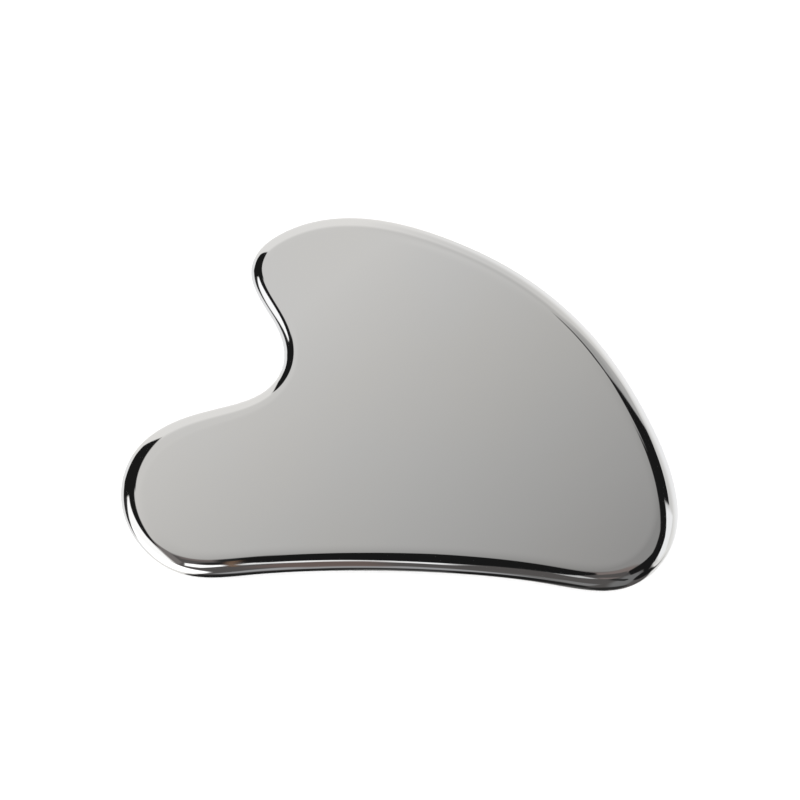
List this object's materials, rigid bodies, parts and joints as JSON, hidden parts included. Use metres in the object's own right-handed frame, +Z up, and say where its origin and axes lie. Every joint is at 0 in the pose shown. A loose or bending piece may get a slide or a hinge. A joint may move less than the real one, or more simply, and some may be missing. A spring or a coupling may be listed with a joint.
{
  "type": "gua sha scraper",
  "caption": "Palm-sized plate of mirror-polished steel with a heart-like outline, a jaw notch, a hollow scraping edge and a blunt rounded rim, drawn over the skin in massage.",
  "frame": {"origin": "on the lower face, at the middle of the outline's bounding box", "axes": "+Z up through the thickness; +X along the length, from the horn and toe towards the blunt corner; +Y from the hollow scraping edge towards the arched back"},
  "size_m": [0.085, 0.0572, 0.004],
  "materials": {
    "polished_steel": "polished"
  },
  "bodies": {
    "root": {"scraper_plate": "polished_steel"}
  },
  "joints": []
}
